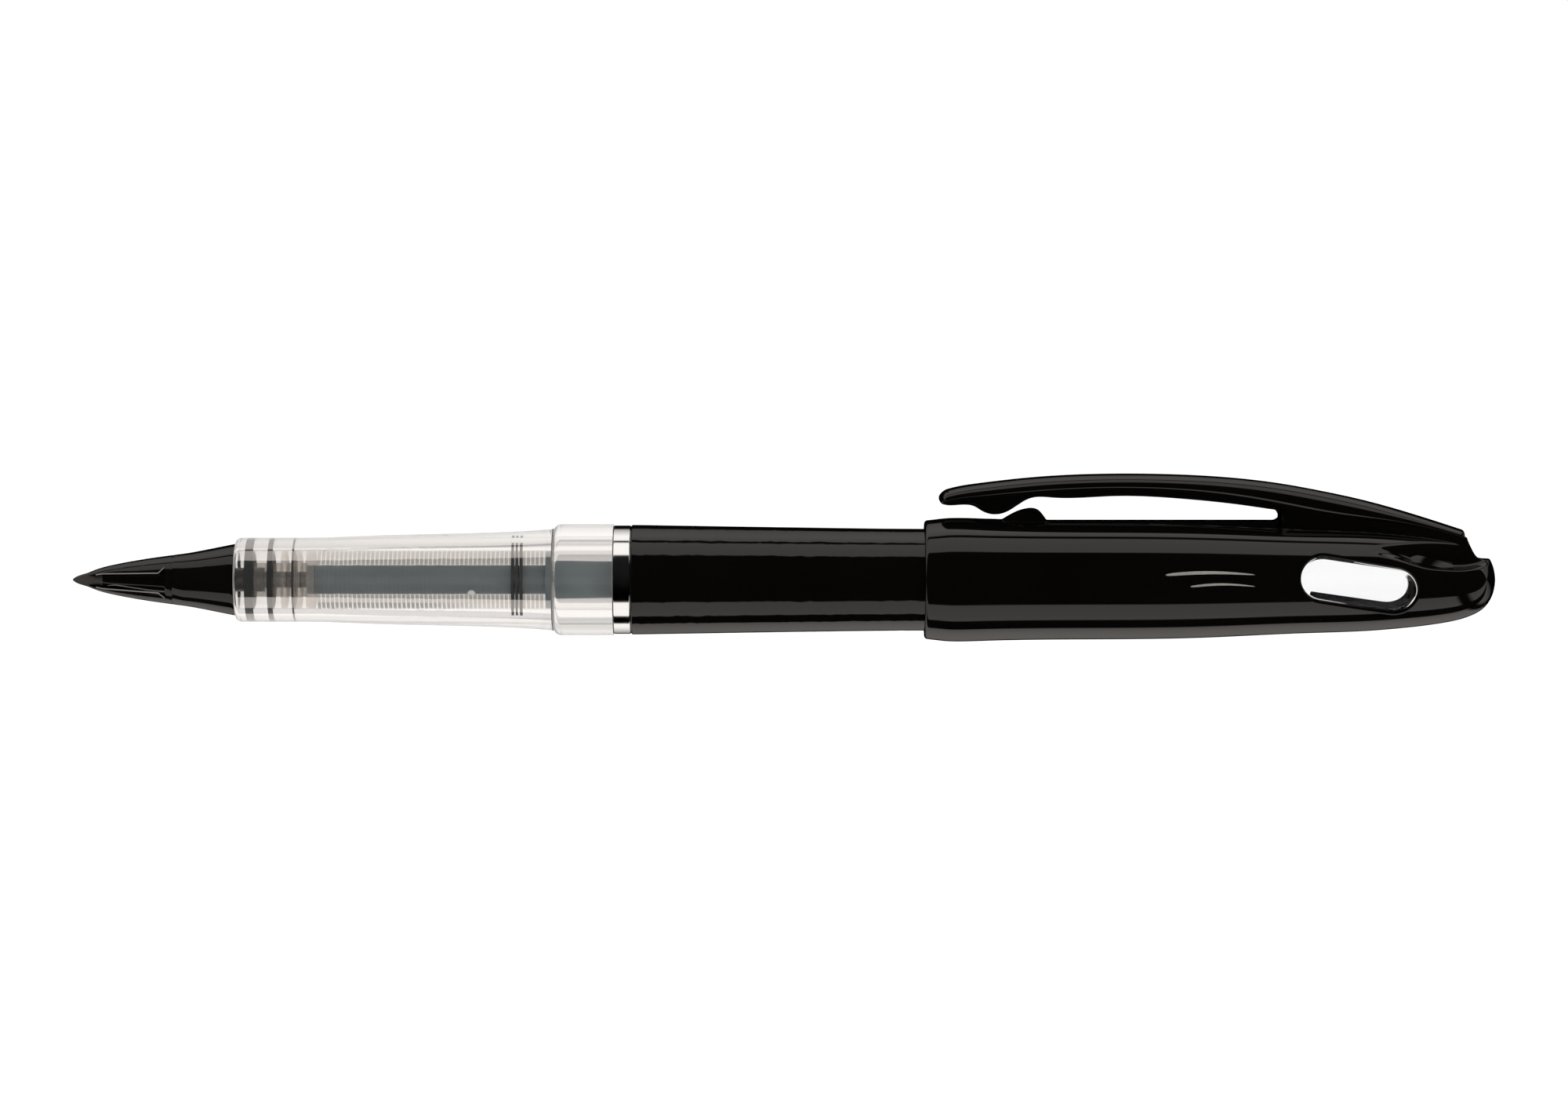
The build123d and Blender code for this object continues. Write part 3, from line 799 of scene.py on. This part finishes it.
def window_outline(grow):
    """Round-ended slot outline seen from the side, grown outward by a margin, as (x, z)."""
    reach = WINDOW_HALF + grow
    points = []
    for side in (1, -1):
        turn = np.linspace(-math.pi / 2, math.pi / 2, WINDOW_ROUND)
        round_x = side * (WINDOW_SPACING / 2 + reach * np.cos(turn))
        points.append(np.stack([round_x, side * reach * np.sin(turn)], axis=1))
        straight = np.linspace(1, -1, WINDOW_STRAIGHT + 2)[1:-1] * WINDOW_SPACING / 2 * side
        points.append(np.stack([straight, np.full(WINDOW_STRAIGHT, side * reach)], axis=1))
    x, z = np.concatenate(points).T
    cos, sin = math.cos(WINDOW_TILT), math.sin(WINDOW_TILT)
    return WINDOW_X + x * cos - z * sin, WINDOW_Z + x * sin + z * cos


def on_cap(x, z, depth, side):
    """Points on the round of the cap's side, sunk by a depth; side is -1 in front and 1 behind."""
    radius = np.interp(x, CAP_FINE[:, 0], CAP_FINE[:, 1])
    y = np.sqrt(radius**2 - z**2)
    scale = 1 - depth / radius
    return np.stack([x, side * y * scale, z * scale], axis=1)


def window_cutter():
    x, z = window_outline(WINDOW_LIP)
    rows = [np.stack([x, np.full(len(x), y), z], axis=1) for y in (-9.0, 9.0)]
    faces = ring_faces(2, len(x)) + end_faces(2, len(x))
    return piece("window_cutter", np.concatenate(rows), flipped(faces), "gloss_black")


def cut(target, cutter):
    """Takes the cutter's shape out of the target and removes the cutter."""
    trim = target.modifiers.new("cut", "BOOLEAN")
    trim.operation, trim.solver, trim.object = "DIFFERENCE", "MANIFOLD", cutter
    graph = bpy.context.evaluated_depsgraph_get()
    mesh = bpy.data.meshes.new_from_object(target.evaluated_get(graph))
    target.modifiers.clear()
    target.data = mesh
    bpy.data.objects.remove(cutter)


def window_lip(name, side):
    """The rounded edge of a window."""
    turn = np.radians(np.linspace(0, 90, 8))
    profile = [(WINDOW_LIP * (1 - math.sin(a)), WINDOW_LIP * (1 - math.cos(a)) + 0.003) for a in turn]
    profile += [(0.0, 1.0), (WINDOW_LIP + 0.01, 1.0), (WINDOW_LIP + 0.01, 0.004)]
    rows = [on_cap(*window_outline(grow), depth, side) for grow, depth in profile]
    faces = ring_faces(len(rows), len(rows[0]), True)
    if side > 0:
        faces = flipped(faces)
    piece(name, np.concatenate(rows), faces, "gloss_black", "cap", 50)


def window_lens(name, side, node):
    """A clear pane that follows the round of the cap, with eased edges."""
    profile = [(grow, PANE_FRONT) for grow in PANE_STEPS]
    profile += PANE_EDGE
    profile += [(grow, PANE_BACK) for grow in PANE_STEPS[::-1]]
    rows = [on_cap(*window_outline(grow), depth, side) for grow, depth in profile]
    faces = ring_faces(len(rows), len(rows[0])) + end_faces(len(rows), len(rows[0]))
    if side < 0:
        faces = flipped(faces)
    made = piece(name, np.concatenate(rows), faces, "window_clear", "cap", 50)
    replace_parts(made, node)


def cap():
    made = piece("cap_skin", *cap_mesh(), "gloss_black", sharp=40)
    cut(made, window_cutter())
    made.data.set_sharp_from_angle(angle=math.radians(40))
    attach(made, "cap")
    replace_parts(made, "cap_shell")
    window_lip("window_lip_front", -1)
    window_lip("window_lip_back", 1)
    window_lens("window_lens_front", -1, "window_front")
    window_lens("window_lens_back", 1, "window_back")


# ---- Clip ---------------------------------------------------------------------------------------

CLIP_HALF = 2.28
CLIP_TIP, CLIP_END = 39.52, 98.5
TIP_ROUND, TIP_HEIGHT, TIP_CUT = 0.95, 9.28, 0.12
REAR_ROUND = 98.3
REAR_PLACES = [98.3, 98.4, 98.46, CLIP_END]
REAR_LENGTH, REAR_INSET = 0.2, 0.12  # the last stretch of the clip, and the share that it draws in by there
TAPER, TAPER_START = 0.1, 90  # the slab narrows by this share from here to its end
CLIP_RINGS = [(CLIP_TIP + TIP_ROUND, 52, 74), (52, 76.5, 60), (76.5, 79.5, 40), (79.5, REAR_ROUND, 60)]
BALL_X, BALL_REACH = 45.6, 3.0
WEB_HALF = 1.7
WEB_FLAT = 0.4  # the last point of its underside, as a share of its half-width
WEB_LEAST, ROOT_SINK = 0.12, 0.3  # how far the web hangs below the slab at least, and behind its root
WEB_EDGE, BALL_EDGE, EDGE_LIMIT = 0.1, 0.8, 0.9  # its rounding, what the ball adds, and the limit as a share
WEB_BOTTOM = [
    (39.5, 8.6),
    (40.6, 8.45),
    (42.8, 8.50),
    (43.6, 8.26),
    (44.3, 7.82),
    (45.7, 7.40),
    (47.2, 7.74),
    (48.4, 8.52),
    (49.4, 9.12),
    (52.2, 9.32),
    (59, 9.48),
    (66.3, 9.22),
    (73.3, 8.51),
    (76.9, 7.99),
]
ROOT_X, ROOT_Z = WEB_BOTTOM[-1]  # where the web turns down into its root
ROOT_ROUND = 0.84
# The slab's lower edge is a quick turn, a long slope that catches the light, and a quick turn. Each arc has a
# radius, a first and a last degree, and a number of points.
UNDERCUT_ARCS = ((0.35, 0, 24, 4), (1.4, 24, 40, 6), (0.3, 40, 90, 6))


def undercut():
    """The slab's lower edge as (inward, drop)."""
    points = [(0.0, 0.0)]
    for radius, first, last, count in UNDERCUT_ARCS:
        turn = np.radians(np.linspace(first, last, count))
        inward = points[-1][0] + radius * (math.cos(turn[0]) - np.cos(turn[1:]))
        drop = points[-1][1] + radius * (np.sin(turn[1:]) - math.sin(turn[0]))
        points += list(zip(inward, drop))
    return points


UNDERCUT = undercut()


def web_bottom(x, line):
    """The underside of the web at x, under the slab's lower line."""
    if x >= ROOT_X + ROOT_ROUND:
        return line - ROOT_SINK
    if x < ROOT_X:
        bottom = along(WEB_BOTTOM, [x])[0]
    else:
        bottom = ROOT_Z - ROOT_ROUND + math.sqrt(ROOT_ROUND**2 - (x - ROOT_X) ** 2)
    return min(bottom, line - WEB_LEAST)


def half_section(x):
    """Half of the clip's cross-section as (y, z), from the crown's middle to the middle underneath."""
    top = along(SLAB_TOP, [x])[0]
    depth = along(SLAB_DEPTH, [x])[0]
    half = CLIP_HALF * (1 - TAPER * max(0, (x - TAPER_START) / (CLIP_END - TAPER_START)))
    crown = SLAB_CROWN * depth
    widest, line = top - crown, top - depth
    points = [(half * math.sin(a), widest + crown * math.cos(a)) for a in np.linspace(0, math.pi / 2, 18)]
    under = (depth - crown) / UNDERCUT[-1][1]
    points += [(half - inward, widest - drop * under) for inward, drop in UNDERCUT[1:]]
    bottom = web_bottom(x, line)
    ball = max(0, 1 - ((x - BALL_X) / BALL_REACH) ** 2)
    edge = min(WEB_EDGE + BALL_EDGE * ball, EDGE_LIMIT * (line - bottom))
    points += [(WEB_HALF, line)]
    for turn in np.linspace(0, math.pi / 2, 6):
        points += [(WEB_HALF - edge + edge * math.cos(turn), bottom + edge - edge * math.sin(turn))]
    return points + [(WEB_HALF * WEB_FLAT, bottom)]


def clip_ring(x):
    """The clip's whole cross-section at x, drawn in at the tip and at the rear end."""
    near = half_section(x)
    section = np.array(near + [(-y, z) for y, z in near[1:][::-1]])
    middle, share = np.array([0.0, TIP_HEIGHT]), 1.0
    if x < CLIP_TIP + TIP_ROUND:
        share = math.sqrt(1 - ((CLIP_TIP + TIP_ROUND - x) / TIP_ROUND) ** 2)
    if x > REAR_ROUND:
        middle = np.array([0.0, section[:, 1].mean()])
        share = 1 - REAR_INSET * ((x - REAR_ROUND) / REAR_LENGTH) ** 2
    return np.insert(middle + share * (section - middle), 0, x, axis=1)


def clip():
    tip = CLIP_TIP + TIP_ROUND * (1 - np.cos(np.linspace(TIP_CUT, math.pi / 2, 14)))
    rows = [clip_ring(x) for x in np.concatenate([tip, places(CLIP_RINGS), REAR_PLACES])]
    columns = len(rows[0])
    points = np.concatenate(rows + [[(CLIP_TIP, 0, TIP_HEIGHT)]])
    tip_pole = len(rows) * columns
    faces = ring_faces(len(rows), columns)
    faces += fan(0, columns, tip_pole, True)
    faces += end_faces(len(rows), columns)[1:]
    made = piece("clip_skin", points, flipped(faces), "gloss_black", sharp=32)
    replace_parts(made, "clip")
    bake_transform(made)


# ---- Collector and seals ------------------------------------------------------------------------

BORE = 3.32
IN_WALL = BORE + 0.012  # rings that reach this far into the bore's wall show magnified through the grip
CORE = 1.62
ROD = 0.9
NECK = 1.9
FIN_RADIUS = 3.24
FIN_PITCH, FIN_THICKNESS = 0.5, 0.35
FIN_START, FIN_COUNT = -30.1, 51
AXIS = 0.001  # radius that stands for the axis where an outline closes on it
CORE_OUTLINE = [
    (-39.4, AXIS),
    (-39.4, 1.30),
    (-38.4, 1.30),
    (-38.4, 0.88),
    (-31.42, 0.88),
    (-31.42, CORE),
    (-4.52, CORE),
    (-4.52, FIN_RADIUS),
    (-3.86, FIN_RADIUS),
    (-3.86, 2.15),
    (3.6, 2.05),
    (4.4, 3.3),
    (8.2, 3.3),
    (8.2, AXIS),
]
NECK_BANDS = [
    (-37.37, -35.79, NECK),
    (-35.17, -34.24, NECK),
    (-34.22, -33.68, FIN_RADIUS),
    (-33.66, -33.04, NECK),
    (-32.78, -32.09, FIN_RADIUS),
    (-32.07, -31.44, NECK),
    (-31.42, -30.45, FIN_RADIUS),
]
SEALS = [
    ("seal_front", "seal_ring_front", -38.32, -37.39),
    ("seal_rear", "seal_ring_rear", -35.77, -35.19),
]
# painted shade: a thin dark ring in the grip's wall where a dark line shows at the collar
COLLAR_SHADE_LINE = band(-3.90, -3.44, 4.6, 5.74, 0.02)
NECK_DISC = band(-33.02, -32.80, CORE, IN_WALL, 0.01)
TRACES = [(-8.39, -8.09), (-7.90, -7.65), (-7.43, -7.11)]
TRACE_GAP = (0.525, 1.19)  # half-widths, above and below, of the places where the traces leave the bore
BUBBLE_X, BUBBLE_Y, BUBBLE_Z = -12.85, -2.6, -1.36
BUBBLE_HALF, BUBBLE_DEPTH, BUBBLE_HEIGHT = 0.5, 0.3, 0.47
BUBBLE_COLUMNS = 32
BUBBLE_LIFTS = np.radians([0, 12, 25, 38, 50, 62, 74, 84])


def lathed(name, outline, segments, finish):
    """A piece of the section turned about the X axis, open along the axis itself."""
    faces = flipped(ring_faces(len(outline), segments))
    return piece(name, turned(outline, segments), faces, finish, "section")


def banded(name, sections, finish):
    return piece(name, *washers(sections), finish, "section")


def collector():
    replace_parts(lathed("collector_core", CORE_OUTLINE, 160, "slate"), "collector")
    starts = [FIN_START + FIN_PITCH * index for index in range(FIN_COUNT)]
    sections = [band(x, x + FIN_THICKNESS, CORE - 0.05, FIN_RADIUS, 0.02) for x in starts]
    fins = banded("collector_fins", sections, "fin_rim")
    fins.data.materials.append(FINISHES["fin_side"])
    normals = np.array([face.normal[0] for face in fins.data.polygons])
    fins.data.polygons.foreach_set("material_index", (np.abs(normals) > 0.9).astype(np.int32))
    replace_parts(fins, "collector")
    sections = [band(start, end, ROD, radius) for start, end, radius in NECK_BANDS]
    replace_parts(banded("collector_neck", sections, "milky"), "collector")


def seals():
    for name, node, start, end in SEALS:
        made = banded(name, [band(start, end, ROD, IN_WALL, 0.02)], "rubber")
        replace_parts(made, node)


def ink_traces():
    """Ink caught in three slots of the collector, clear of the bore at the top and at the bottom."""
    points, faces = washers([band(start, end, CORE, IN_WALL, 0.01) for start, end in TRACES])
    radius = np.hypot(points[:, 1], points[:, 2])
    gap = np.where(points[:, 2] > 0, *TRACE_GAP)
    loose = (radius > BORE - 0.01) & (np.abs(points[:, 1]) < gap)
    points[loose, 1:] *= (BORE - 0.03) / radius[loose, None]
    piece("ink_traces", points, faces, "ink", "section")


def air_bubble():
    """A flat-bottomed air bubble that rests against the fins on the camera's side; its near-white matt colour
    paints its bright reflection.
    """
    turn = np.linspace(0, 2 * math.pi, BUBBLE_COLUMNS, endpoint=False)
    rows = []
    for lift in BUBBLE_LIFTS:
        x = BUBBLE_X + BUBBLE_HALF * math.cos(lift) * np.cos(turn)
        y = BUBBLE_Y + BUBBLE_DEPTH * math.cos(lift) * np.sin(turn)
        z = np.full(BUBBLE_COLUMNS, BUBBLE_Z + BUBBLE_HEIGHT * math.sin(lift))
        rows.append(np.stack([x, y, z], axis=1))
    faces = ring_faces(len(rows), BUBBLE_COLUMNS) + end_faces(len(rows), BUBBLE_COLUMNS)
    piece("air_bubble", np.concatenate(rows), faces, "bubble", "section", 60)


# ---- Nib holder's details -----------------------------------------------------------------------

NIB_ROLL = math.radians(6)
NIB_ROOT = [(-55.2, AXIS), (-55.1, 0.5), (-54.6, 0.72), (-52.0, 0.78), (-47.0, 0.8), (-46.9, AXIS)]
HOLDER_SIDE = [(-55.95, 0.87), (-54.5, 1.40), (-53.1, 1.73), (-50.3, 2.25), (-47.3, 2.69), (-46.55, 2.79)]
HOLDER_CORE = [(-54.5, 0.72), (-53.0, 1.0), (-50.0, 1.42), (-47.3, 1.95)]
WING_FLAT = [(-56.05, 0.62), (-54.5, 1.02), (-47.3, 2.42)]
WING_EDGE = [(-55.2, 0.68), (-54.4, 0.82), (-48.05, 1.10), (-47.68, 1.42), (-47.3, 1.75)]
WING_CORD = 0.075
WING_RINGS = [(-55.2, -48.05, 40), (-48.0, -47.35, 10)]
# where the painted reflection runs along the core's underside, as (x, height)
CORE_REFLECTION = [(-53.9, -0.62), (-53.2, -0.55), (-52.0, -0.68), (-50.0, -0.98), (-48.5, -1.18), (-47.35, -1.25)]
CORE_CORD = (0.05, 0.12)


def nib_root():
    """The rear of the fibre nib, held between the wings."""
    lathed("nib_root", NIB_ROOT, 64, "nib_fibre")


def cord(line, radius, segments=10):
    """Points and faces of a thin round cord along a line of (x, y, z), with its thickness at each place."""
    turn = np.linspace(0, 2 * math.pi, segments, endpoint=False)
    ring = np.stack([np.zeros(segments), np.cos(turn), np.sin(turn)], axis=1)
    points = line[:, None, :] + radius[:, None, None] * ring[None]
    ends = flipped(end_faces(len(line), segments))
    return points.reshape(-1, 3), flipped(ring_faces(len(line), segments) + ends)


def wing_edge(up, side):
    """A light cord painting the highlight on a wing's rim, where its flat face or round side meets the
    channel, turned with the nib.
    """
    x = np.concatenate([np.linspace(*stretch) for stretch in WING_RINGS])
    height = np.interp(x, *np.transpose(WING_EDGE))
    flat = np.interp(x, *np.transpose(WING_FLAT))
    out = np.minimum(flat, np.sqrt(along(HOLDER_SIDE, x) ** 2 - height**2)) - 0.03
    y, z = side * out, up * (height + 0.03)
    cos, sin = math.cos(NIB_ROLL), math.sin(NIB_ROLL)
    line = np.stack([x, y * cos - z * sin, y * sin + z * cos], axis=1)
    return cord(line, np.full(len(x), WING_CORD))


def core_reflection(side):
    """A light cord on the side of the round core between the wings: a painted reflection of the light below.
    """
    x = np.linspace(CORE_REFLECTION[0][0], -47.4, 40)
    z = along(CORE_REFLECTION, x)
    depth = np.sqrt(along(HOLDER_CORE, x) ** 2 - z**2) - 0.02
    line = np.stack([x, side * depth, z], axis=1)
    return cord(line, np.linspace(*CORE_CORD, len(x)))


def holder_highlights():
    """Painted highlights as light cords: on the wings' rims along the channel and on the core between them.
    """
    cords = [wing_edge(up, side) for up in (1, -1) for side in (-1, 1)]
    cords += [core_reflection(side) for side in (-1, 1)]
    piece("holder_highlights", *joined(cords), "worn_edge", "section", 60)


# ---- Printed mark -------------------------------------------------------------------------------

STROKES = [(64.6, 74.6, 0.95, 0.34), (67.4, 74.6, -0.35, 0.24)]  # start, end, height and thickness of each
STROKE_BOW = 0.25
STROKE_COUNT = 40
PRINT_DEPTHS = (-0.012, 0.05)  # the print stands a little proud of the cap and reaches into it


def stroke(start, end, height, thick):
    """Points and faces of one tapering stroke: its upper and lower edge on the outside, then inside."""
    share = np.linspace(0, 1, STROKE_COUNT)
    x = start + (end - start) * share
    lift = height + STROKE_BOW * np.sin(share * math.pi)
    width = thick * np.sin(share**0.6 * math.pi) ** 0.5 + 0.02
    edges = [on_cap(x, lift + up * width / 2, depth, -1) for depth in PRINT_DEPTHS for up in (1, -1)]
    faces = []
    for i in range(STROKE_COUNT - 1):
        a, b, c, d = (STROKE_COUNT * row + i for row in range(4))
        faces += [(a, b, b + 1, a + 1), (c, c + 1, d + 1, d), (a, a + 1, c + 1, c), (b, d, d + 1, b + 1)]
    a, b, c, d = (STROKE_COUNT * row for row in range(4))
    last = STROKE_COUNT - 1
    faces += [(a, c, d, b), (a + last, b + last, d + last, c + last)]
    return np.concatenate(edges), faces


def printed_mark():
    """A plain pair of tapering silver strokes printed on the side of the cap."""
    piece("printed_mark", *joined(stroke(*sizes) for sizes in STROKES), "silver_print", "cap", 60)


# ---- CAD nodes that are shown with their own shape ----------------------------------------------

NODE_FINISH = {
    "barrel": "gloss_black",
    "nib_holder": "satin_black",
    "nib": "nib_fibre",
    "trim_ring": "chrome",
    "ink_core": "slate",
    "grip_section": "clear",
    "ink_tank": "milky",
    "tank_plug": "milky",
    "ink_charge": "ink",
    "inner_cap": "inner_clear",
}
HOLDER_EASE = 0.13  # bevel on the nib holder's edges


def paint_nodes():
    for node, finish in NODE_FINISH.items():
        slots = NODES[node].data.materials
        slots.clear()
        slots.append(FINISHES[finish])


def soften(name, width):
    """Rounds a CAD node's sharp edges a little, so that they catch the light."""
    node = NODES[name]
    weld = node.modifiers.new("weld", "WELD")
    weld.merge_threshold = 0.002 * MM
    bevel = node.modifiers.new("bevel", "BEVEL")
    bevel.width, bevel.segments = width * MM, 3
    bevel.limit_method, bevel.angle_limit = "ANGLE", math.radians(28)
    bevel.harden_normals = True


paint_nodes()
soften("nib_holder", HOLDER_EASE)

cap()
clip()
collector()
seals()
# the painted shade line at the collar
banded("collar_shade_line", [COLLAR_SHADE_LINE], "seam")
banded("neck_disc", [NECK_DISC], "ink")
ink_traces()
air_bubble()
nib_root()
holder_highlights()
printed_mark()

world()
floor()
overhead()
camera()
bpy.context.scene.view_settings.view_transform = "Standard"
